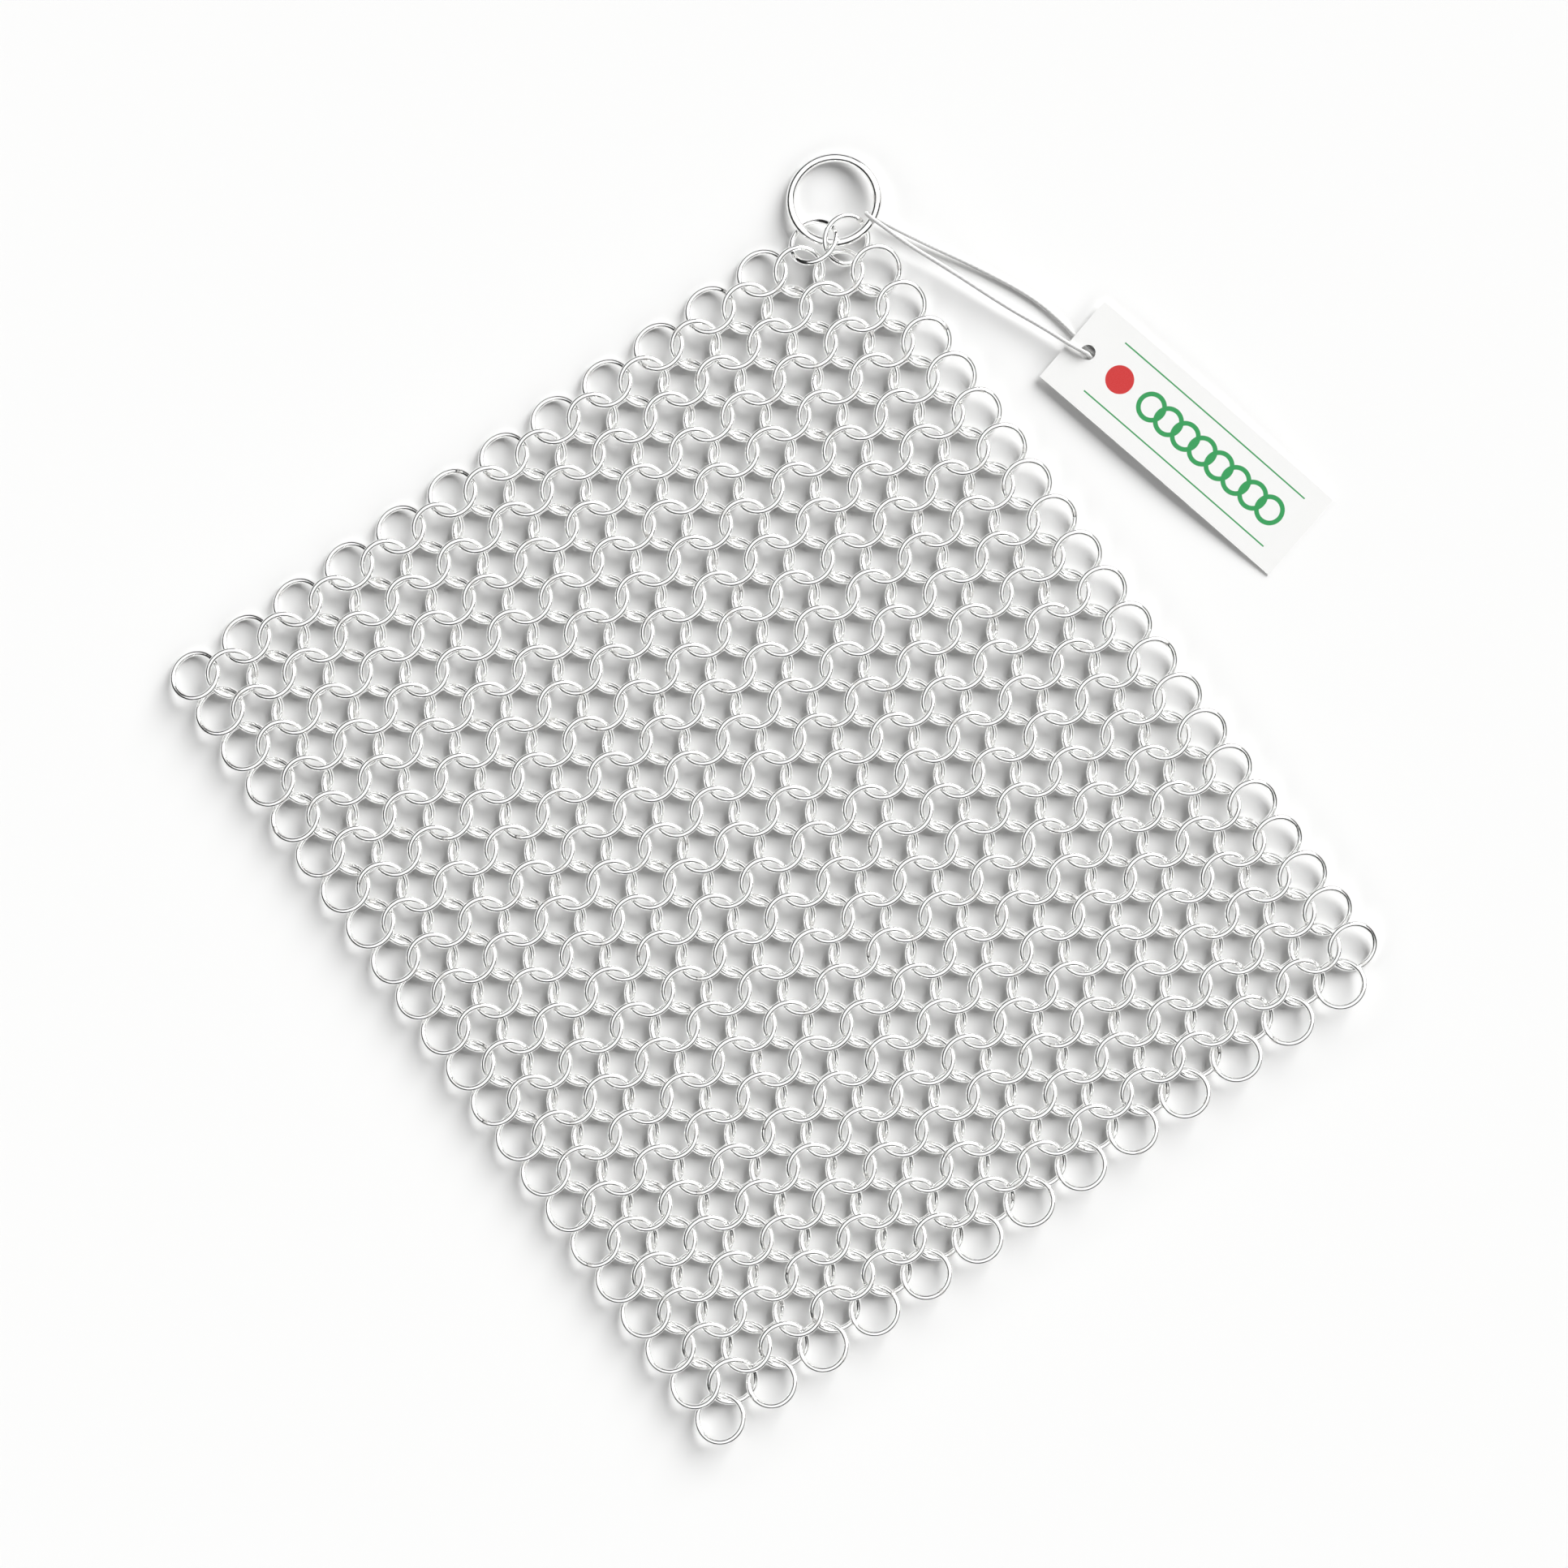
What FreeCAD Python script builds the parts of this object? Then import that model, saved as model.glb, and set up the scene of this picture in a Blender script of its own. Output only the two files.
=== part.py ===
import FreeCAD, Part
import math
import os

# A chain-mail pot scrubber lying flat, with a hanging ring through one corner and a card tag on a string.
# Frame: +X along the rows of rings, +Y from the last row to the first, +Z up. The origin is on the resting
# surface, under the middle of the box round all the rings. Lengths are in millimetres, angles in degrees.

Vector = FreeCAD.Vector
Rotation = FreeCAD.Rotation
X_AXIS = Vector(1, 0, 0)
Y_AXIS = Vector(0, 1, 0)
Z_AXIS = Vector(0, 0, 1)

# Mail rings, woven four into one
RING_OUTSIDE = 11.2
RING_WIRE = 1.15
RINGS_IN_ROW = 13
ROWS = 43
LINK_SLACK = 0.35       # end play of two linked rings, pulled apart in one plane
LINK_CLEARANCE = 0.15   # gap where the wires of linked rings cross
WEAVE_ANGLE = 39.0      # direction of a drawn link, from the line of its row
RIDGE_DRAW = 0.826      # spacing of two rows at a ridge, as a part of that in a valley, where links are drawn
FLATTEST_LEAN = 5.0     # between these the rings lean just as far as their wires need
STEEPEST_LEAN = 45.0
LEAN_STEP = 1e-4

# Hanging ring, through the last rings of the first two rows
HANG_OUTSIDE = 20.1
HANG_WIRE = 1.8
HANG_INSET = 0.35       # how far its wire passes beyond the corner ring's own place
HANG_BEARING = 26.3     # direction of its middle from the corner ring
HANG_LEAN = -8.1        # about X, so that its far side lies on the surface

# The two rings that the hanging ring pulls askew: their added lean and roll, and their shift from the weave as
# parts of a ring's outside
CORNER_SHIFT = Vector(-0.064, -0.082, 0.082)
CORNER_LEAN = -11.0
CORNER_ROLL = -4.0
EDGE_SHIFT = Vector(-0.127, -0.036, 0.05)
EDGE_LEAN = 3.0
EDGE_ROLL = 14.5
SETTLING_ROUNDS = 200
SETTLED = 0.95          # part of the clearance at which two wires count as clear
SEARCH_STARTS = 9       # places round a ring from which the nearest points are sought
SEARCH_ROUNDS = 12

# Card tag
TAG_LENGTH = 63.7
TAG_WIDTH = 20.8
TAG_THICKNESS = 0.4
TAG_HOLE = 3.2
TAG_HOLE_INSET = 4.4    # from the near end to the middle of the hole
TAG_BEARING = -76.0

# String, a loop round the hanging ring's wire and through the tag
STRING = 0.9
STRING_CLEARANCE = 0.3  # from the hanging ring's wire
STRING_AT_RING = -60.6  # bearing of the loop from the hanging ring's middle
STRAND_BEARING = -67.0
STRAND_LENGTH = 53.1    # from the hanging ring's wire to the middle of the tag's hole
KNOT_OUTSIDE = 2.8      # the turn of string that ties its two ends, under the tag
TAG_CLEARANCE = 0.15    # above and below the strand that lies under the tag
BEND_SHARE = 0.45       # part of the shorter run that each bend takes


class Ring:
    """A round wire ring: its middle, the direction of its axis, and the radii of its line and its wire."""

    def __init__(self, centre, axis, outside, wire):
        self.centre = centre
        self.axis = axis
        self.wire_radius = wire / 2
        self.radius = outside / 2 - self.wire_radius

    def solid(self):
        return Part.makeTorus(self.radius, self.wire_radius, self.centre, self.axis)

    def reach(self, direction):
        """How far the ring extends from its middle in a direction."""
        return self.radius * math.sqrt(1 - self.axis.dot(direction) ** 2) + self.wire_radius

    def towards(self, bearing):
        """The point of the ring's line at a bearing from its middle."""
        ray = Rotation(Z_AXIS, bearing).multVec(X_AXIS)
        ray.z = -self.axis.dot(ray) / self.axis.z
        return self.centre + ray.normalize() * self.radius

    def nearest(self, point):
        """The point of the ring's line that is nearest to a point."""
        arm = point - self.centre
        arm = arm - self.axis * arm.dot(self.axis)
        return self.centre + arm.normalize() * self.radius

    def give_way(self, point, push):
        """Move as a free hoop does, so that its point moves by the push."""
        lever = (point - self.centre).cross(push)
        softness = 2 / self.radius ** 2
        share = 1 / (1 + softness * lever.dot(lever) / push.dot(push))
        self.centre = self.centre + push * share
        self.axis = (self.axis + (lever * softness * share).cross(self.axis)).normalize()


def leaning(lean, roll=0.0):
    """The axis of a ring that lies flat, then leans about X, then rolls about Y."""
    return (Rotation(Y_AXIS, roll) * Rotation(X_AXIS, lean)).multVec(Z_AXIS)


def gap(first, second):
    """The gap between two rings' wires, and the nearest points of their lines, found from starts all round."""
    least = None
    for start in range(SEARCH_STARTS):
        point = first.towards(360 * start / SEARCH_STARTS)
        for _ in range(SEARCH_ROUNDS):
            other_point = second.nearest(point)
            point = first.nearest(other_point)
        distance = point.distanceToPoint(other_point)
        if least is None or distance < least[0]:
            least = distance, point, other_point
    return least[0] - first.wire_radius - second.wire_radius, least[1], least[2]


# The weave: rings lean opposite ways in neighbouring rows, just far enough for linked wires to clear
LINK = RING_OUTSIDE - 2 * RING_WIRE - LINK_SLACK
PITCH = 2 * LINK * math.cos(math.radians(WEAVE_ANGLE))


def row_spacings(lean):
    """The spacing of two rows in a valley and at a ridge."""
    valley = LINK * math.sin(math.radians(WEAVE_ANGLE)) * math.cos(math.radians(lean))
    return valley, RIDGE_DRAW * valley


def crossing_gap(lean):
    """The least gap between two linked rings whose rows lean opposite ways."""
    first = Ring(Vector(), leaning(-lean), RING_OUTSIDE, RING_WIRE)
    seconds = [Ring(Vector(PITCH / 2, -spacing, 0), leaning(lean), RING_OUTSIDE, RING_WIRE)
               for spacing in row_spacings(lean)]
    return min(gap(first, second)[0] for second in seconds)


def least_lean():
    flat, steep = FLATTEST_LEAN, STEEPEST_LEAN
    while steep - flat > LEAN_STEP:
        middle = (flat + steep) / 2
        if crossing_gap(middle) < LINK_CLEARANCE:
            flat = middle
        else:
            steep = middle
    return steep


LEAN = least_lean()
VALLEY, RIDGE = row_spacings(LEAN)


def mail_ring(row, place, shift=Vector(), lean=0.0, roll=0.0):
    """A ring by its row and its place there, both counted from 0, with any shift and turn from the weave."""
    side = row % 2
    axis = leaning((LEAN if side else -LEAN) + lean, roll)
    along = (place + side / 2) * PITCH
    down = row // 2 * (RIDGE + VALLEY) + side * RIDGE
    height = Ring(Vector(), leaning(LEAN), RING_OUTSIDE, RING_WIRE).reach(Z_AXIS)
    return Ring(Vector(along, -down, height) + shift, axis, RING_OUTSIDE, RING_WIRE)


def hanging_ring():
    corner = mail_ring(0, RINGS_IN_ROW - 1)
    ring = Ring(Vector(), leaning(HANG_LEAN), HANG_OUTSIDE, HANG_WIRE)
    way = Rotation(Z_AXIS, HANG_BEARING).multVec(X_AXIS) * (ring.radius - HANG_INSET)
    ring.centre = Vector(corner.centre.x + way.x, corner.centre.y + way.y, ring.reach(Z_AXIS))
    return ring


def settle(loose, still):
    """Let loose rings give way to each other and to still ones until all their wires clear."""
    pairs = [(ring, other) for ring in loose for other in still]
    pairs += [(ring, other) for count, ring in enumerate(loose) for other in loose[count + 1:]]
    for _ in range(SETTLING_ROUNDS):
        for ring in loose:
            ring.centre.z = max(ring.centre.z, ring.reach(Z_AXIS))
        moved = False
        for ring, other in pairs:
            clear, point, other_point = gap(ring, other)
            if clear < SETTLED * LINK_CLEARANCE:
                push = (point - other_point).normalize() * (LINK_CLEARANCE - clear)
                if other in loose:
                    push = push / 2
                    other.give_way(other_point, -push)
                ring.give_way(point, push)
                moved = True
        if not moved:
            break


# All the rings, row by row, with the corner settled round the hanging ring
last = RINGS_IN_ROW - 1
rows = [[mail_ring(row, place) for place in range(RINGS_IN_ROW)] for row in range(ROWS)]
rows[0][last] = mail_ring(0, last, CORNER_SHIFT * RING_OUTSIDE, CORNER_LEAN, CORNER_ROLL)
rows[1][last] = mail_ring(1, last, EDGE_SHIFT * RING_OUTSIDE, EDGE_LEAN, EDGE_ROLL)
hang = hanging_ring()
corner_neighbours = [rows[0][last - 1], rows[1][last - 1], rows[2][last], rows[3][last]]
settle([hang, rows[0][last], rows[1][last]], corner_neighbours)

# The origin goes under the middle of the box round the rings
every_ring = [ring for row in rows for ring in row] + [hang]
middle = Vector()
for axis in (X_AXIS, Y_AXIS):
    top = max(ring.centre.dot(axis) + ring.reach(axis) for ring in every_ring)
    bottom = min(ring.centre.dot(axis) - ring.reach(axis) for ring in every_ring)
    middle = middle + axis * ((top + bottom) / 2)
for ring in every_ring:
    ring.centre = ring.centre - middle

# Where the string's loop goes round the hanging ring, where it goes through the tag and where its knot starts
loop = hang.towards(STRING_AT_RING)
ground = Vector(loop.x, loop.y, 0)
forward = Rotation(Z_AXIS, STRAND_BEARING).multVec(X_AXIS)
sideways = Z_AXIS.cross(forward)
hole = ground + forward * STRAND_LENGTH
TAG_LIFT = STRING + 2 * TAG_CLEARANCE
STRING_END = STRAND_LENGTH + TAG_HOLE / 2 + STRING


def tag_card():
    """A card with a punched hole, its near end raised on the strand under it, its far end on the surface."""
    card = Part.makeBox(TAG_LENGTH, TAG_WIDTH, TAG_THICKNESS, Vector(0, -TAG_WIDTH / 2, 0))
    punch = Part.makeCylinder(TAG_HOLE / 2, 3 * TAG_THICKNESS, Vector(TAG_HOLE_INSET, 0, -TAG_THICKNESS))
    turn = Rotation(Z_AXIS, TAG_BEARING) * Rotation(Y_AXIS, math.degrees(math.asin(TAG_LIFT / TAG_LENGTH)))
    near_end = hole - turn.multVec(Vector(TAG_HOLE_INSET, 0, 0))
    card = card.cut(punch)
    card.Placement = FreeCAD.Placement(Vector(near_end.x, near_end.y, TAG_LIFT), turn)
    return card


def string_points():
    """The string's route: from the knot back under the tag, round the hanging ring's wire and down the hole."""
    wrap = (HANG_WIRE + STRING) / 2 + STRING_CLEARANCE
    lying = (STRING + TAG_CLEARANCE) / 2
    over_tag = TAG_LIFT + TAG_THICKNESS + TAG_CLEARANCE + STRING / 2
    under_ring = loop.z - wrap
    over_ring = loop.z + wrap
    slope = over_ring - over_tag
    # How far along the strand, how many strings' widths to its side, and how high
    route = [
        (STRING_END, 0.60, lying),
        (STRAND_LENGTH - STRING, 0.80, lying),
        (0.88 * STRAND_LENGTH, 0.55, lying),
        (0.72 * STRAND_LENGTH, 1.05, lying),
        (0.49 * STRAND_LENGTH, 0.70, lying),
        (0.27 * STRAND_LENGTH, 1.00, lying),
        (0.15 * STRAND_LENGTH, 0.95, lying + 0.4 * (under_ring - lying)),
        (2 * wrap, 0.65, under_ring),
        (-wrap, 0.45, under_ring),
        (-wrap, -0.35, over_ring),
        (1.6 * wrap, -0.65, over_tag + 0.9 * slope),
        (0.17 * STRAND_LENGTH, -1.05, over_tag + 0.55 * slope),
        (0.36 * STRAND_LENGTH, -0.80, over_tag + 0.2 * slope),
        (0.64 * STRAND_LENGTH, -1.10, over_tag),
        (0.80 * STRAND_LENGTH, -0.65, over_tag),
        (0.93 * STRAND_LENGTH, -0.85, over_tag + 0.1 * slope),
        (STRAND_LENGTH + STRING / 3, -0.45, over_tag + 0.2 * slope),
        (STRAND_LENGTH + STRING / 3, -0.35, lying),
        (STRING_END, -0.70, lying),
    ]
    return [ground + forward * ahead + sideways * (aside * STRING) + Z_AXIS * height
            for ahead, aside, height in route]


def string_knot():
    """One turn of the string, flat on the surface and next to the string's two ends."""
    ahead = STRING_END + KNOT_OUTSIDE / 2 + TAG_CLEARANCE
    return Ring(ground + forward * ahead + Z_AXIS * STRING / 2, Z_AXIS, KNOT_OUTSIDE, STRING).solid()


def bent_wire(points):
    """Straight runs joined by tangent arcs, with the least radius of those arcs."""
    edges = []
    start = points[0]
    radii = []
    for before, corner, after in zip(points, points[1:], points[2:]):
        back = (before - corner).normalize()
        ahead = (after - corner).normalize()
        reach = BEND_SHARE * min((before - corner).Length, (after - corner).Length)
        half_turn = (math.pi - back.getAngle(ahead)) / 2
        radius = reach / math.tan(half_turn)
        inward = (back + ahead).normalize()
        crown = corner + inward * (radius / math.cos(half_turn) - radius)
        edges.append(Part.LineSegment(start, corner + back * reach).toShape())
        edges.append(Part.Arc(corner + back * reach, crown, corner + ahead * reach).toShape())
        start = corner + ahead * reach
        radii.append(radius)
    edges.append(Part.LineSegment(start, points[-1]).toShape())
    return Part.Wire(edges), radii


def tag_string():
    points = string_points()
    path, radii = bent_wire(points)
    section = Part.Wire(Part.Circle(points[0], points[1] - points[0], STRING / 2).toShape())
    tube = path.makePipeShell([section], True, False)
    ideal = math.pi * STRING ** 2 / 4 * path.Length
    print("string: length %.1f, least bend radius %.2f" % (path.Length, min(radii)))
    print("string: bend radii", " ".join("%.1f" % radius for radius in radii))
    print("string: tube volume %.2f, section by length %.2f" % (tube.Volume, ideal))
    return tube


# One file for each sub-part
parts = {"ring_row_%02d" % (count + 1): Part.makeCompound([ring.solid() for ring in row])
         for count, row in enumerate(rows)}
parts["hanging_ring"] = hang.solid()
parts["tag_card"] = tag_card()
parts["tag_string"] = tag_string()
parts["string_knot"] = string_knot()

os.makedirs("parts", exist_ok=True)
for name, shape in parts.items():
    shape.exportStep("parts/%s.step" % name)
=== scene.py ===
import math
import random

import bmesh
import bpy
import numpy as np
from bpy.props import FloatProperty, FloatVectorProperty, IntProperty, PointerProperty
from mathutils import Matrix, Vector


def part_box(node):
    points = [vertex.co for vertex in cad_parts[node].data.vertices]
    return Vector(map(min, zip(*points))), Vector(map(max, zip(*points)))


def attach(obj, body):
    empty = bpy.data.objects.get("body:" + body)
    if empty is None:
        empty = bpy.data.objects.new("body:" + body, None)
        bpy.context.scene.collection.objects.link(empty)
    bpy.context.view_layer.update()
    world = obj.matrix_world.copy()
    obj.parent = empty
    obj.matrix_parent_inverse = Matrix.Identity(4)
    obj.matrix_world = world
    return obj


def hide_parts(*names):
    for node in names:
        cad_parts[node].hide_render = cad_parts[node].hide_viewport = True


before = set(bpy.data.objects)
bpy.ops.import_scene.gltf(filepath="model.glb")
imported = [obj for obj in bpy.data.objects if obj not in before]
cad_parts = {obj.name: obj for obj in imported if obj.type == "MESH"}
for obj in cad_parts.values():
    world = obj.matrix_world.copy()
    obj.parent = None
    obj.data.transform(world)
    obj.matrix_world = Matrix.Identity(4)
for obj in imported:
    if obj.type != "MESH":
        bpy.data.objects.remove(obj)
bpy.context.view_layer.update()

bl_info = {
    "name": "Chain-mail pot scrubber",
    "version": (1, 0, 0),
    "blender": (4, 5, 0),
    "location": "3D View > Sidebar > Scrubber",
    "description": "Dresses a chain-mail pot scrubber: steel rings, a hanging ring and a card tag on a string",
    "category": "Mesh",
}

ROW_NODES = sorted(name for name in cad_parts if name.startswith("ring_row_"))
RING_REACH = 1.045          # a row's next ring starts further on than this, in outside diameters
LIMIT_CIRCLE = 0.9553       # radius of a smoothed ring of 12 points, as a part of its points' radius
LIMIT_SECTION = 0.658       # the same for a section of 4 points
RING_POINTS, SECTION_POINTS = 12, 4
WELD_COLOUR = (0.62, 0.60, 0.57)
CARD_BLOTCH = (0.885, 0.885, 0.87)
CARD_CUTS = 24              # steps along the card, for its bow
HOLE_POINTS = 32
KNOT_POINTS = 24
LAMP_SIDE = (0.98, 0.17, 0.0)           # level direction from the scrubber to the side lamp
LAMP_RAYS = (-0.84, -0.16, -0.52)       # direction in which the side lamp shines
LOOK_AT = Vector((0.0023, 0.001455, 0.0023))
WALL_SHARES = (0.75, 1.3)   # of the walls' brightness, away from the side lamp and on its side

# Soft edges in the light tent, in heights from 0 at the horizon to 1 overhead
WALL_FOOT = (0.18, 0.38)
WALL_TOP = (0.38, 0.62)
STRIP_AWAY = (0.62, 0.70)   # top of the dark strip that metal shows, away from the side lamp
STRIP_NEAR = (0.36, 0.44)   # and on its side

# The tag's print, in millimetres from the middle of its near end
LINK_STEP = 4.7             # from one link of the chain to the next
LINK_RADIUS = 2.75
LINK_LINE = 0.5             # half the width of a link's line
LINK_END = 3.6              # from the middle of a set's last link to its end
FIRST_LINK = 22.0
LINKS_EACH = 4              # in each of the chain's two sets, which overlap
ROUNDEL_AT = 13.2
ROUNDEL_RADIUS = 3.04
RULE_OFFSET = 6.6           # of each rule from the middle line
RULE_LINE = 0.16            # half the width of a rule
RULE_MIDDLE = 34.0
RULE_REACH = 25.0           # from a rule's middle to its end
INK_EDGE = 0.06             # half the width of the ink's soft edge

# The string's line, from the knot back under the tag, round the hanging ring and down the tag's hole
STRING_ROUTE = [
    (0.10814, 0.03643, 0.00047),
    (0.10697, 0.03983, 0.00050),
    (0.10628, 0.04586, 0.00050),
    (0.10410, 0.05491, 0.00048),
    (0.09833, 0.06627, 0.00060),
    (0.09291, 0.07547, 0.00090),
    (0.08987, 0.08094, 0.00120),
    (0.08774, 0.08479, 0.00167),
    (0.08564, 0.08928, 0.00167),
    (0.08498, 0.08900, 0.00497),
    (0.08641, 0.08494, 0.00469),
    (0.08857, 0.07892, 0.00372),
    (0.09272, 0.06973, 0.00275),
    (0.09828, 0.05593, 0.00220),
    (0.10198, 0.04827, 0.00220),
    (0.10451, 0.04185, 0.00248),
    (0.10641, 0.03829, 0.00275),
    (0.10649, 0.03832, 0.00053),
    (0.10706, 0.03598, 0.00047),
]


def metres(name, description, default):
    return FloatProperty(
        name=name, description=description, default=default, min=0.0, unit="LENGTH", precision=5
    )


def strength(name, description, default):
    return FloatProperty(name=name, description=description, default=default, min=0.0, max=10.0)


def degrees(name, description, default):
    return FloatProperty(name=name, description=description, default=math.radians(default), subtype="ANGLE")


def colour(name, description, default):
    return FloatVectorProperty(
        name=name, description=description, default=default, min=0.0, max=1.0, size=3, subtype="COLOR"
    )


class ScrubberMail(bpy.types.PropertyGroup):
    """The small rings of the mail."""

    outside: metres("Outside", "Diameter over the wire", 0.0112)
    wire: metres("Wire", "Diameter of the wire", 0.00115)
    tilt: degrees("Tilt", "Most that a ring leans away from its place in the weave", 0.5)
    seed: IntProperty(name="Seed", description="Start of the rings' random turns", default=7)
    steel: colour("Steel", "Bright parts of the drawn wire", (0.92, 0.92, 0.91))
    dull: colour("Dull steel", "Greyer parts of the drawn wire", (0.84, 0.84, 0.83))


class ScrubberHangingRing(bpy.types.PropertyGroup):
    """The larger ring at the corner."""

    outside: metres("Outside", "Diameter over the wire", 0.0201)
    wire: metres("Wire", "Diameter of the wire", 0.0018)


class ScrubberTag(bpy.types.PropertyGroup):
    """The card tag."""

    length: metres("Length", "Along the tag", 0.0637)
    width: metres("Width", "Across the tag", 0.0208)
    thickness: metres("Thickness", "Thickness of the card", 0.0004)
    hole: metres("Hole", "Diameter of the punched hole", 0.0032)
    inset: metres("Hole inset", "From the near end to the middle of the hole", 0.0044)
    lift: metres("Lift", "Height of the near end over the surface", 0.0012)
    curl: metres("Curl", "Height of the card's bow between its ends", 0.0007)
    bearing: degrees("Bearing", "Direction of the tag's length", -76.0)
    card: colour("Card", "Uncoated white card", (0.91, 0.91, 0.90))
    green: colour("Green ink", "Links and rules of the print", (0.012, 0.30, 0.075))
    red: colour("Red ink", "Roundel of the print", (0.60, 0.018, 0.018))


class ScrubberString(bpy.types.PropertyGroup):
    """The tag's string."""

    diameter: metres("Diameter", "Diameter of the twisted string", 0.0009)
    white: colour("White", "Bleached cotton", (0.80, 0.80, 0.79))


class ScrubberStage(bpy.types.PropertyGroup):
    """Floor, light and camera."""

    floor: colour("Floor", "Matt white floor", (0.95, 0.95, 0.945))
    overhead: strength("Overhead", "Brightness of the light tent overhead", 0.0)
    walls: strength("Walls", "Brightness of the light tent's walls", 2.8)
    foot: strength("Foot", "Brightness of the light tent at its foot", 0.02)
    mirrored: strength("Mirrored tent", "Brightness of the light tent as metal shows it", 1.2)
    flag: strength("Flag", "Brightness that metal shows of the dark strip round the foot", 0.02)
    lamp: strength("Lamp", "Strength of the soft side lamp", 3.6)
    softness: degrees("Softness", "Angle that the side lamp fills", 42.0)
    lens: FloatProperty(name="Lens", description="Focal length in millimetres", default=74.53)
    distance: metres("Distance", "From the camera to the scrubber", 0.683)
    elevation: degrees("Elevation", "Height of the camera over the horizon", 88.8)
    azimuth: degrees("Azimuth", "Side from which the camera looks", 22.6)
    roll: degrees("Roll", "Turn of the camera about its line of sight", 212.2)


class ScrubberSettings(bpy.types.PropertyGroup):
    """All sizes and colours of the scrubber and its stage."""

    mail: PointerProperty(type=ScrubberMail)
    hanging_ring: PointerProperty(type=ScrubberHangingRing)
    tag: PointerProperty(type=ScrubberTag)
    string: PointerProperty(type=ScrubberString)
    stage: PointerProperty(type=ScrubberStage)


class Finish:
    """A material or a world whose nodes are added one by one; each call returns the new node's output."""

    def __init__(self, owner, shader="Principled BSDF"):
        owner.use_nodes = True
        self.owner = owner
        self.tree = owner.node_tree
        self.shader = self.tree.nodes[shader]

    def feed(self, socket, value):
        if isinstance(value, bpy.types.NodeSocket):
            self.tree.links.new(value, socket)
        elif socket.type == "RGBA" and len(value) == 3:
            socket.default_value = (*value, 1.0)
        else:
            socket.default_value = value

    def add(self, kind, output, inputs, **settings):
        node = self.tree.nodes.new("ShaderNode" + kind)
        for name, value in settings.items():
            setattr(node, name, value)
        for name, value in inputs.items():
            self.feed(node.inputs[name], value)
        return node.outputs[output]

    def math(self, operation, *values):
        return self.add("Math", 0, dict(enumerate(values)), operation=operation)

    def between(self, value, low, high):
        """0 below low, 1 above high, smooth between them; low may be the greater."""
        inputs = {"Value": value, "From Min": low, "From Max": high}
        return self.add("MapRange", "Result", inputs, interpolation_type="SMOOTHSTEP")

    def scaled(self, value, low, high):
        """A value from 0 to 1 taken to the range from low to high."""
        return self.add("MapRange", "Result", {"Value": value, "To Min": low, "To Max": high})

    def blended(self, factor, first, second):
        """One value turning into another."""
        return self.add("Mix", 0, {0: factor, 2: first, 3: second}, data_type="FLOAT")

    def mixed(self, factor, first, second):
        """One colour turning into another."""
        return self.add("Mix", 2, {0: factor, 6: first, 7: second}, data_type="RGBA")

    def noise(self, vector, scale, detail=2.0, **inputs):
        inputs = {"Vector": vector, "Scale": scale, "Detail": detail, **inputs}
        return self.add("TexNoise", "Fac", inputs, noise_dimensions="4D" if "W" in inputs else "3D")

    def coordinates(self, kind):
        return self.add("TexCoord", kind, {})

    def mapped(self, vector, **inputs):
        return self.add("Mapping", 0, {"Vector": vector, **inputs})

    def bump(self, height, strength, distance, **inputs):
        return self.add("Bump", 0, {"Height": height, "Strength": strength, "Distance": distance, **inputs})

    def seen_in_metal(self):
        """1 for what is seen mirrored in metal, 0 for what lights a matt surface."""
        sharp = self.math("LESS_THAN", self.add("LightPath", "Diffuse Depth", {}), 0.5)
        return self.math("MULTIPLY", self.add("LightPath", "Is Glossy Ray", {}), sharp)

    def show(self, **sockets):
        for name, value in sockets.items():
            self.feed(self.shader.inputs[name.replace("_", " ")], value)
        return self.owner


def drawn_steel(name, bright, dull):
    """Drawn stainless wire: die lines, patchy shine, small dents, and a ground weld where it closes."""
    finish = Finish(bpy.data.materials.new(name))
    uv = finish.coordinates("UV")
    place = finish.coordinates("Object")
    ring = finish.add("Attribute", "Fac", {}, attribute_name="ring")
    round_ring = finish.add("SeparateXYZ", "X", {"Vector": uv})
    lines = finish.noise(finish.mapped(uv, Scale=(2.0, 26.0, 1.0)), 1.0, W=ring)
    patches = finish.noise(place, 700.0, detail=3.0)
    dents = finish.noise(place, 2600.0)
    weld = finish.between(finish.math("ABSOLUTE", round_ring), 0.470, 0.492)
    tone = finish.mixed(patches, dull, bright)
    tone = finish.mixed(finish.scaled(weld, 0.0, 0.4), tone, WELD_COLOUR)
    rough = finish.math("ADD", finish.scaled(patches, 0.06, 0.18), finish.scaled(weld, 0.0, 0.16))
    rough = finish.math("ADD", rough, finish.scaled(lines, -0.03, 0.05))
    relief = finish.bump(lines, 0.25, 0.00003)
    relief = finish.bump(dents, 0.20, 0.00006, Normal=relief)
    relief = finish.bump(weld, 0.6, 0.00008, Normal=relief)
    return finish.show(Base_Color=tone, Metallic=1.0, Roughness=rough, Normal=relief)


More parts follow.
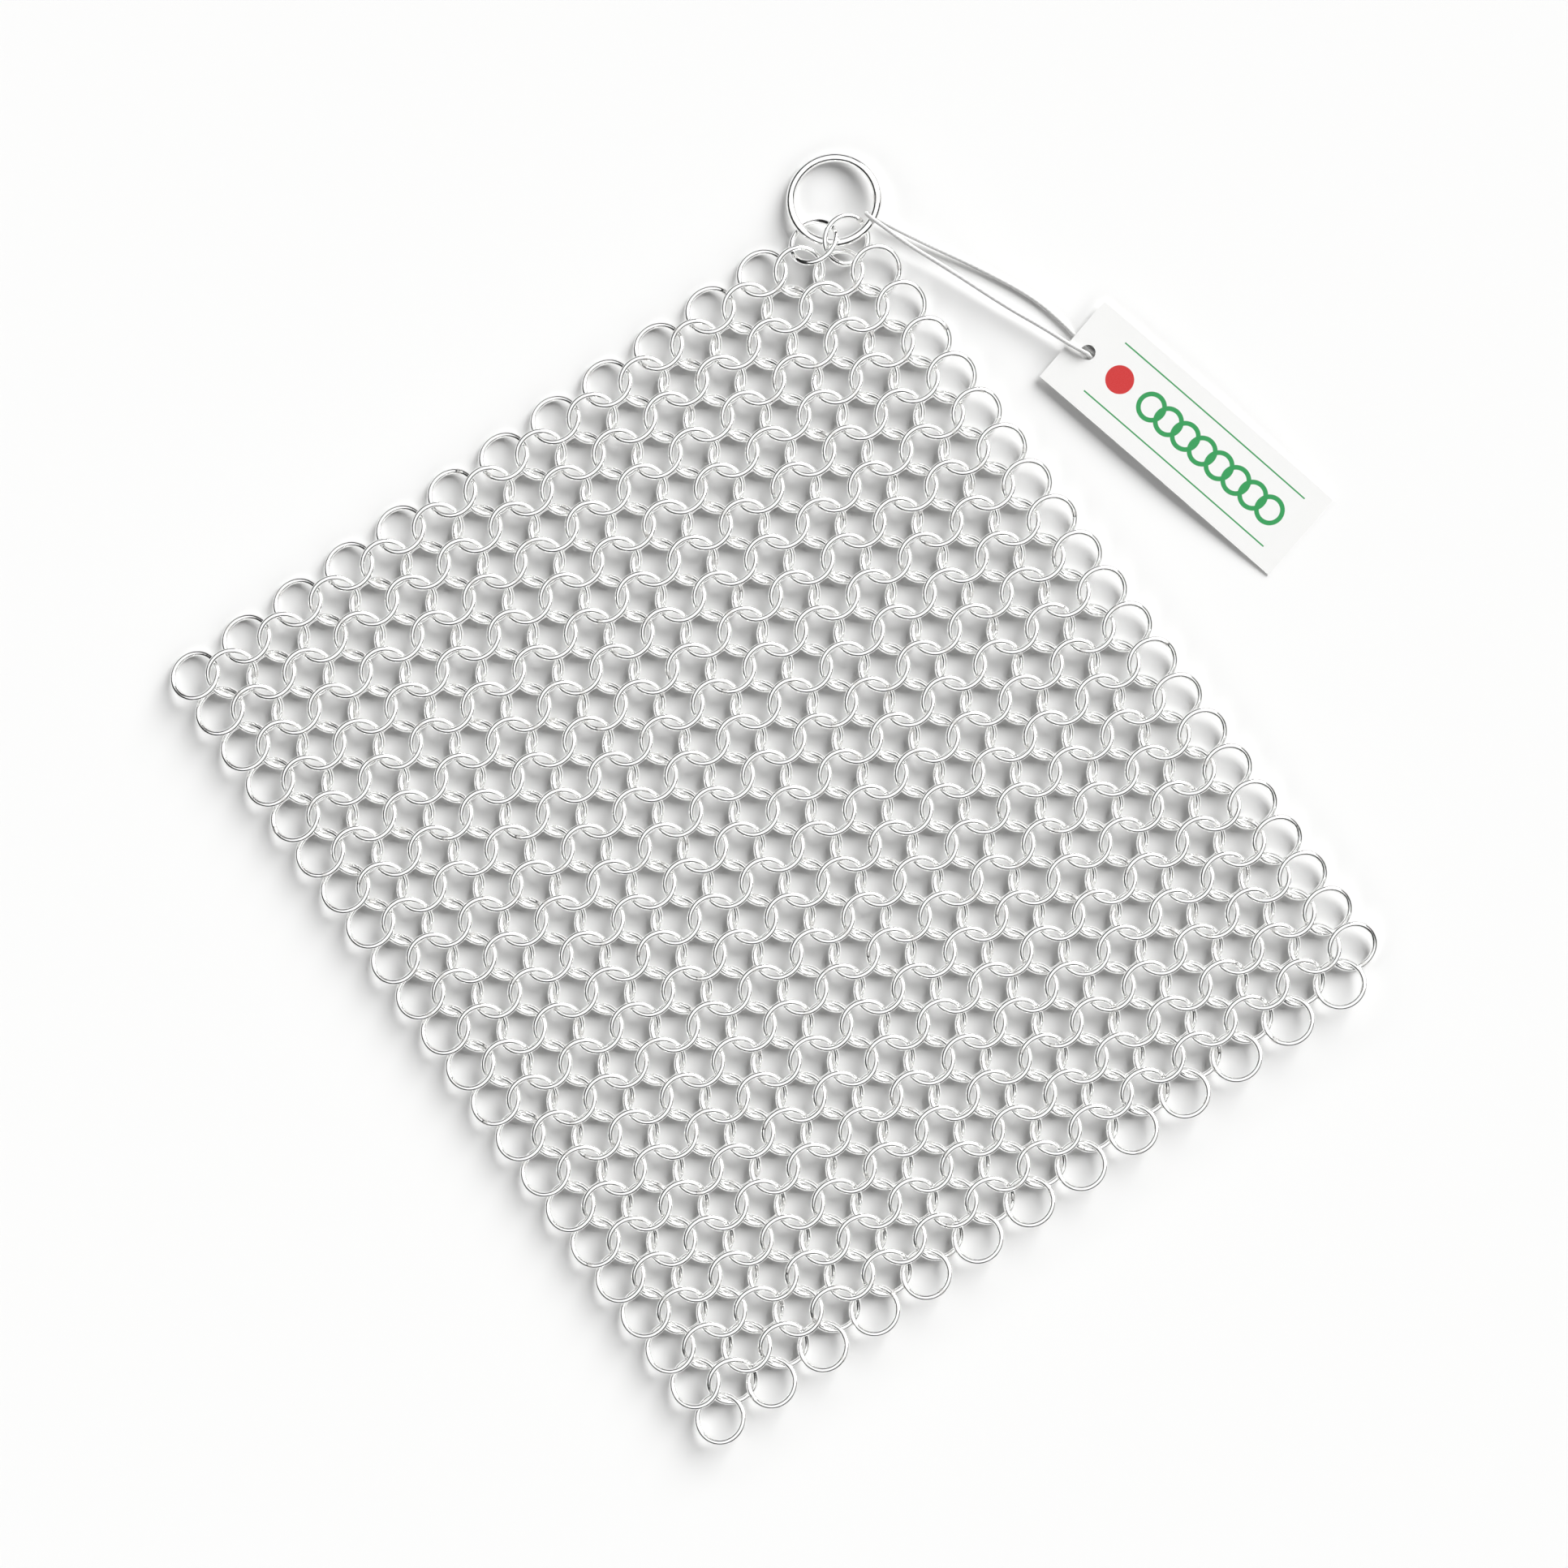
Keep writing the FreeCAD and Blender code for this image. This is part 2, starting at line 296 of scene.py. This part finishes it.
def printed_card(settings):
    """White card with paper grain and a small print: a roundel, a chain of links and two rules."""
    finish = Finish(bpy.data.materials.new("printed_card"))
    place = finish.coordinates("Object")
    near_end = tag_place(settings) @ Vector()
    on_card = finish.add(
        "Mapping",
        0,
        {
            "Vector": place,
            "Location": (near_end.x, near_end.y, 0.0),
            "Rotation": (0.0, 0.0, settings.bearing),
            "Scale": (0.001, 0.001, 0.001),
        },
        vector_type="TEXTURE",
    )
    x = finish.add("SeparateXYZ", "X", {"Vector": on_card})
    y = finish.add("SeparateXYZ", "Y", {"Vector": on_card})
    fibre = finish.noise(place, 5200.0, detail=4.0)
    blotch = finish.noise(place, 260.0)

    def length(across, along):
        squares = [finish.math("MULTIPLY", side, side) for side in (across, along)]
        return finish.math("SQRT", finish.math("ADD", *squares))

    def band(value, middle, half):
        off = finish.math("ABSOLUTE", finish.math("SUBTRACT", value, middle))
        return finish.between(off, half + INK_EDGE, half - INK_EDGE)

    def links(first):
        """Every other link of the chain."""
        across = finish.math("WRAP", finish.math("SUBTRACT", x, first), LINK_STEP, -LINK_STEP)
        reach = (LINKS_EACH - 1) * LINK_STEP
        whole_links = band(x, first + reach, reach + LINK_END)
        return finish.math("MULTIPLY", band(length(across, y), LINK_RADIUS, LINK_LINE), whole_links)

    chain = finish.math("MAXIMUM", links(FIRST_LINK), links(FIRST_LINK + LINK_STEP))
    lines = band(finish.math("ABSOLUTE", y), RULE_OFFSET, RULE_LINE)
    rules = finish.math("MULTIPLY", lines, band(x, RULE_MIDDLE, RULE_REACH))
    roundel = band(length(finish.math("SUBTRACT", x, ROUNDEL_AT), y), 0.0, ROUNDEL_RADIUS)
    cover = finish.scaled(fibre, 0.95, 1.0)
    tone = finish.mixed(finish.scaled(blotch, 0.0, 0.5), settings.card, CARD_BLOTCH)
    green = finish.math("MAXIMUM", chain, rules)
    tone = finish.mixed(finish.math("MULTIPLY", green, cover), tone, settings.green)
    tone = finish.mixed(finish.math("MULTIPLY", roundel, cover), tone, settings.red)
    ink = finish.math("MAXIMUM", green, roundel)
    rough = finish.math("SUBTRACT", finish.scaled(fibre, 0.72, 0.88), finish.scaled(ink, 0.0, 0.2))
    relief = finish.bump(fibre, 0.35, 0.00003)
    return finish.show(Base_Color=tone, Roughness=rough, Normal=relief, Specular_IOR_Level=0.35)


def twisted_cotton(name, white):
    """Bleached string: the lay of its plies in relief, painted shade in the grooves between them, and the fuzz
    on them.
    """
    finish = Finish(bpy.data.materials.new(name))
    uv = finish.coordinates("UV")
    place = finish.coordinates("Object")
    ply_relief_and_groove_shade = finish.add(
        "TexWave",
        "Fac",
        {"Vector": finish.mapped(uv, Scale=(190.0, 2.0, 1.0)), "Scale": 0.5},
        bands_direction="DIAGONAL",
    )
    fuzz = finish.noise(place, 6500.0, detail=3.0)
    # Painted shade: the colour darkens where the plies' relief is low, in the grooves between the plies
    tone = finish.mixed(ply_relief_and_groove_shade, tuple(0.88 * part for part in white), white)
    relief = finish.bump(ply_relief_and_groove_shade, 0.3, 0.00005)
    relief = finish.bump(fuzz, 0.4, 0.00004, Normal=relief)
    rough = finish.scaled(fuzz, 0.62, 0.85)
    return finish.show(Base_Color=tone, Roughness=rough, Normal=relief, Sheen_Weight=0.25)


def made_piece(name, bm, material):
    """An object at the origin from a finished bmesh."""
    mesh = bpy.data.meshes.new(name)
    for face in bm.faces:
        face.smooth = True
    bm.to_mesh(mesh)
    bm.free()
    mesh.materials.append(material)
    piece = bpy.data.objects.new(name, mesh)
    bpy.context.scene.collection.objects.link(piece)
    return piece


def smoothed(piece, levels):
    modifier = piece.modifiers.new("Smooth", "SUBSURF")
    modifier.levels = levels
    modifier.render_levels = levels
    return piece


def wire_ring(outside, wire):
    """A coarse ring round Z that smooths to a wire ring of that size, with a UV map along the wire."""
    radius = (outside - wire) / 2
    line = radius / LIMIT_CIRCLE
    high = wire / 2 / LIMIT_SECTION
    bm = bmesh.new()
    upright = Matrix.Rotation(math.pi / 2, 4, "X")
    bmesh.ops.create_circle(bm, cap_ends=False, radius=high, segments=SECTION_POINTS, matrix=upright)
    bmesh.ops.scale(bm, vec=(1 / LIMIT_CIRCLE, 1.0, 1.0), verts=bm.verts)
    bmesh.ops.translate(bm, vec=(line, 0.0, 0.0), verts=bm.verts)
    section = bm.verts[:] + bm.edges[:]
    bmesh.ops.spin(
        bm, geom=section, axis=(0, 0, 1), cent=(0, 0, 0), angle=math.tau, steps=RING_POINTS, use_merge=True
    )
    bmesh.ops.remove_doubles(bm, verts=bm.verts, dist=wire / 100)
    bmesh.ops.recalc_face_normals(bm, faces=bm.faces)
    wrap = bm.loops.layers.uv.new("UVMap")
    for face in bm.faces:
        middle = turns(face.calc_center_median(), line)
        for loop in face.loops:
            own = turns(loop.vert.co, line)
            loop[wrap].uv = [at + (a - at + 0.5) % 1.0 - 0.5 for a, at in zip(own, middle)]
    mesh = bpy.data.meshes.new("wire_ring")
    bm.to_mesh(mesh)
    bm.free()
    return mesh


def turns(point, line):
    """How far round a ring, and round its wire, a point lies, each from -0.5 to 0.5 turns."""
    flat = math.hypot(point.x, point.y)
    return math.atan2(point.y, point.x) / math.tau, math.atan2(point.z, flat - line) / math.tau


def ring_places(node, outside):
    """Middle and axis of each ring of a CAD node, in order along X."""
    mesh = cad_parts[node].data
    points = np.empty(len(mesh.vertices) * 3, np.float32)
    mesh.vertices.foreach_get("co", points)
    points = points.reshape(-1, 3).astype(float)
    points = points[np.argsort(points[:, 0])]
    places = []
    while len(points):
        ring = points[points[:, 0] < points[0, 0] + RING_REACH * outside]
        points = points[len(ring):]
        middle = (ring.min(axis=0) + ring.max(axis=0)) / 2
        axis = Vector(np.linalg.eigh(np.cov((ring - middle).T))[1][:, 0])
        places.append((Vector(middle), axis if axis.z > 0 else -axis))
    return places


def laid_rings(template, places, chance, tilt):
    """Copies of a ring at the given places, each with its own random turn and small lean."""
    bm = bmesh.new()
    own = bm.verts.layers.float.new("ring")
    for middle, axis in places:
        start = len(bm.verts)
        bm.from_mesh(template)
        bm.verts.ensure_lookup_table()
        verts = bm.verts[start:]
        lean = Matrix.Rotation(chance.uniform(-tilt, tilt), 4, "X")
        lean = lean @ Matrix.Rotation(chance.uniform(-tilt, tilt), 4, "Y")
        turn = Matrix.Rotation(chance.uniform(0.0, math.tau), 4, "Z")
        lay = axis.to_track_quat("Z", "X").to_matrix().to_4x4()
        bmesh.ops.transform(bm, matrix=Matrix.Translation(middle) @ lay @ lean @ turn, verts=verts)
        number = chance.uniform(0.0, 50.0)
        for vert in verts:
            vert[own] = number
    return bm


def tag_place(settings):
    """Where the card's near end, middle and underside go."""
    low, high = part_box("tag_card")
    turn = Matrix.Rotation(settings.bearing, 4, "Z")
    slope = Matrix.Rotation(math.asin(settings.lift / settings.length), 4, "Y")
    far = turn @ slope @ Vector((settings.length / 2, 0.0, 0.0))
    middle = (low + high) / 2
    return Matrix.Translation((middle.x - far.x, middle.y - far.y, settings.lift)) @ turn @ slope


class SCRUBBER_OT_mail(bpy.types.Operator):
    """Lay the rows of small steel rings"""

    bl_idname = "scrubber.mail"
    bl_label = "Mail Rings"

    def execute(self, context):
        mail = context.scene.scrubber.mail
        chance = random.Random(mail.seed)
        template = wire_ring(mail.outside, mail.wire)
        steel = drawn_steel("mail_steel", mail.steel, mail.dull)
        for node in ROW_NODES:
            bm = laid_rings(template, ring_places(node, mail.outside), chance, mail.tilt)
            piece = smoothed(made_piece(node.replace("ring_row", "mail_rings"), bm, steel), 2)
            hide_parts(node)
            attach(piece, node.replace("ring_row", "row"))
        bpy.data.meshes.remove(template)
        return {"FINISHED"}


class SCRUBBER_OT_hanging_ring(bpy.types.Operator):
    """Make the larger ring at the corner"""

    bl_idname = "scrubber.hanging_ring"
    bl_label = "Hanging Ring"

    def execute(self, context):
        settings = context.scene.scrubber
        ring = settings.hanging_ring
        template = wire_ring(ring.outside, ring.wire)
        places = ring_places("hanging_ring", ring.outside)
        bm = laid_rings(template, places, random.Random(settings.mail.seed), 0.0)
        steel = drawn_steel("hanging_ring_steel", settings.mail.steel, settings.mail.dull)
        piece = smoothed(made_piece("hanging_loop", bm, steel), 3)
        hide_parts("hanging_ring")
        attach(piece, "hanging_ring")
        bpy.data.meshes.remove(template)
        return {"FINISHED"}


class SCRUBBER_OT_tag_card(bpy.types.Operator):
    """Cut, punch and bow the card tag"""

    bl_idname = "scrubber.tag_card"
    bl_label = "Card Tag"

    def execute(self, context):
        tag = context.scene.scrubber.tag
        patch_half = 0.8 * tag.inset
        bm = bmesh.new()
        bmesh.ops.create_circle(bm, cap_ends=False, radius=tag.hole / 2, segments=HOLE_POINTS)
        patch = bmesh.ops.extrude_edge_only(bm, edges=bm.edges[:])["geom"]
        for vert in (item for item in patch if isinstance(item, bmesh.types.BMVert)):
            vert.co *= patch_half / max(abs(vert.co.x), abs(vert.co.y))
        self.widen(bm, 0, -tag.inset)
        self.widen(bm, 0, tag.length - tag.inset)
        self.widen(bm, 1, -tag.width / 2)
        self.widen(bm, 1, tag.width / 2)
        bmesh.ops.translate(bm, vec=(tag.inset, 0.0, 0.0), verts=bm.verts)
        for count in range(1, CARD_CUTS):
            along = tag.length * count / CARD_CUTS
            if abs(along - tag.inset) > patch_half:
                geometry = bm.verts[:] + bm.edges[:] + bm.faces[:]
                bmesh.ops.bisect_plane(bm, geom=geometry, plane_co=(along, 0.0, 0.0), plane_no=(1.0, 0.0, 0.0))
        bmesh.ops.recalc_face_normals(bm, faces=bm.faces)
        if bm.faces[0].normal.z < 0:
            bmesh.ops.reverse_faces(bm, faces=bm.faces)
        bmesh.ops.solidify(bm, geom=bm.faces[:], thickness=-tag.thickness)
        for vert in bm.verts:
            vert.co.z += tag.curl * math.sin(math.pi * vert.co.x / tag.length)
        bmesh.ops.transform(bm, matrix=tag_place(tag), verts=bm.verts)
        bmesh.ops.recalc_face_normals(bm, faces=bm.faces)
        piece = made_piece("swing_card", bm, printed_card(tag))
        piece.data.shade_flat()
        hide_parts("tag_card")
        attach(piece, "swing_tag")
        return {"FINISHED"}

    def widen(self, bm, axis, to):
        """Draw out the outline on one side of the sheet as far as a line."""
        side = max(vert.co[axis] * math.copysign(1.0, to) for vert in bm.verts) * math.copysign(1.0, to)
        edges = [
            edge
            for edge in bm.edges
            if edge.is_boundary and all(abs(vert.co[axis] - side) < 1e-6 for vert in edge.verts)
        ]
        drawn = bmesh.ops.extrude_edge_only(bm, edges=edges)["geom"]
        for vert in (item for item in drawn if isinstance(item, bmesh.types.BMVert)):
            vert.co[axis] = to


class SCRUBBER_OT_tag_string(bpy.types.Operator):
    """Lay the string round the hanging ring and through the tag, and tie its knot"""

    bl_idname = "scrubber.tag_string"
    bl_label = "Tag String"

    def execute(self, context):
        string = context.scene.scrubber.string
        cotton = twisted_cotton("tag_string", string.white)
        tight = 0.55 * string.diameter
        knot = self.curve("string_knot_tie", self.knot_points(tight), tight, cotton, True)
        cord = self.curve("string_loop", STRING_ROUTE, string.diameter, cotton, False)
        for piece, node in ((cord, "tag_string"), (knot, "string_knot")):
            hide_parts(node)
            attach(piece, "swing_tag")
        return {"FINISHED"}

    def curve(self, name, points, diameter, material, closed):
        line = bpy.data.curves.new(name, "CURVE")
        line.dimensions = "3D"
        line.bevel_depth = diameter / 2
        line.bevel_resolution = 3
        line.resolution_u = 6
        spline = line.splines.new("NURBS")
        spline.points.add(len(points) - 1)
        for point, co in zip(spline.points, points):
            point.co = (*co, 1.0)
        spline.order_u = 3
        spline.use_cyclic_u = closed
        spline.use_endpoint_u = not closed
        line.materials.append(material)
        piece = bpy.data.objects.new(name, line)
        bpy.context.scene.collection.objects.link(piece)
        return piece

    def knot_points(self, diameter):
        """A small tight overhand knot, pressed under the tag."""
        low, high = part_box("string_knot")
        middle = (low + high) / 2
        size = (high.x - low.x - diameter) / 6
        points = []
        for count in range(KNOT_POINTS):
            turn = math.tau * count / KNOT_POINTS
            across = math.sin(turn) + 2 * math.sin(2 * turn)
            along = math.cos(turn) - 2 * math.cos(2 * turn)
            rise = -0.45 * diameter * math.sin(3 * turn)
            points.append(middle + Vector((across, along, 0.0)) * size + Vector((0.0, 0.0, rise)))
        return points


class SCRUBBER_OT_stage(bpy.types.Operator):
    """Set up the floor, the light tent and the camera"""

    bl_idname = "scrubber.stage"
    bl_label = "Stage"

    def execute(self, context):
        stage = context.scene.scrubber.stage
        self.lay_floor(stage)
        self.light_tent(context.scene, stage)
        self.side_lamp(stage)
        self.camera(context.scene, stage)
        context.scene.view_settings.view_transform = "Standard"
        return {"FINISHED"}

    def lay_floor(self, stage):
        bm = bmesh.new()
        bmesh.ops.create_grid(bm, x_segments=1, y_segments=1, size=15.0)
        finish = Finish(bpy.data.materials.new("matt_floor"))
        finish.show(Base_Color=stage.floor, Roughness=0.9, Specular_IOR_Level=0.0)
        white = finish.add("Emission", 0, {"Color": (1.0, 1.0, 1.0), "Strength": 1.0})
        shown = finish.add("MixShader", 0, {0: finish.seen_in_metal(), 1: finish.shader.outputs[0], 2: white})
        finish.feed(finish.tree.nodes["Material Output"].inputs["Surface"], shown)
        made_piece("floor", bm, finish.owner)

    def light_tent(self, scene, stage):
        """Low bright walls under a dark top; the camera sees white, and metal sees white over a dark strip."""
        scene.world = bpy.data.worlds.new("light_tent")
        tent = Finish(scene.world, "Background")
        direction = tent.coordinates("Generated")
        height = tent.add("SeparateXYZ", "Z", {"Vector": direction})
        lamp_side = tent.add("VectorMath", "Value", {0: direction, 1: LAMP_SIDE}, operation="DOT_PRODUCT")
        walls = tent.between(height, *WALL_FOOT)
        top = tent.between(height, *WALL_TOP)
        side = tent.scaled(lamp_side, *(share * stage.walls for share in WALL_SHARES))
        light = tent.blended(walls, stage.foot, tent.blended(top, side, stage.overhead))
        strip = tent.between(height, *(tent.scaled(lamp_side, *edge) for edge in zip(STRIP_AWAY, STRIP_NEAR)))
        shown = tent.blended(strip, stage.flag, stage.mirrored)
        light = tent.blended(tent.seen_in_metal(), light, shown)
        light = tent.blended(tent.add("LightPath", "Is Camera Ray", {}), light, 1.0)
        tent.show(Color=(1.0, 1.0, 1.0), Strength=light)

    def side_lamp(self, stage):
        lamp = bpy.data.lights.new("side_lamp", "SUN")
        lamp.energy = stage.lamp
        lamp.angle = stage.softness
        holder = bpy.data.objects.new("side_lamp", lamp)
        holder.rotation_euler = Vector(LAMP_RAYS).to_track_quat("-Z", "Y").to_euler()
        bpy.context.scene.collection.objects.link(holder)

    def camera(self, scene, stage):
        camera = bpy.data.cameras.new("camera")
        camera.lens = stage.lens
        camera.sensor_width = 36.0
        camera.clip_start = 0.01
        holder = bpy.data.objects.new("camera", camera)
        level = math.cos(stage.elevation)
        across, along = level * math.cos(stage.azimuth), level * math.sin(stage.azimuth)
        back = Vector((across, along, math.sin(stage.elevation)))
        turn = back.to_track_quat("Z", "Y").to_matrix().to_4x4() @ Matrix.Rotation(stage.roll, 4, "Z")
        holder.matrix_world = Matrix.Translation(LOOK_AT + back * stage.distance) @ turn
        scene.collection.objects.link(holder)
        scene.camera = holder


class SCRUBBER_PT_pieces(bpy.types.Panel):
    """The scrubber's pieces and sizes"""

    bl_label = "Scrubber"
    bl_idname = "SCRUBBER_PT_pieces"
    bl_space_type = "VIEW_3D"
    bl_region_type = "UI"
    bl_category = "Scrubber"

    def draw(self, context):
        for operator in OPERATORS:
            self.layout.operator(operator.bl_idname)


OPERATORS = (
    SCRUBBER_OT_mail,
    SCRUBBER_OT_hanging_ring,
    SCRUBBER_OT_tag_card,
    SCRUBBER_OT_tag_string,
    SCRUBBER_OT_stage,
)
CLASSES = (
    ScrubberMail,
    ScrubberHangingRing,
    ScrubberTag,
    ScrubberString,
    ScrubberStage,
    ScrubberSettings,
    *OPERATORS,
    SCRUBBER_PT_pieces,
)


def register():
    for each in CLASSES:
        bpy.utils.register_class(each)
    bpy.types.Scene.scrubber = PointerProperty(type=ScrubberSettings)


def unregister():
    del bpy.types.Scene.scrubber
    for each in reversed(CLASSES):
        bpy.utils.unregister_class(each)


def main():
    register()
    bpy.ops.scrubber.mail()
    bpy.ops.scrubber.hanging_ring()
    bpy.ops.scrubber.tag_card()
    bpy.ops.scrubber.tag_string()
    bpy.ops.scrubber.stage()


if __name__ == "__main__":
    main()
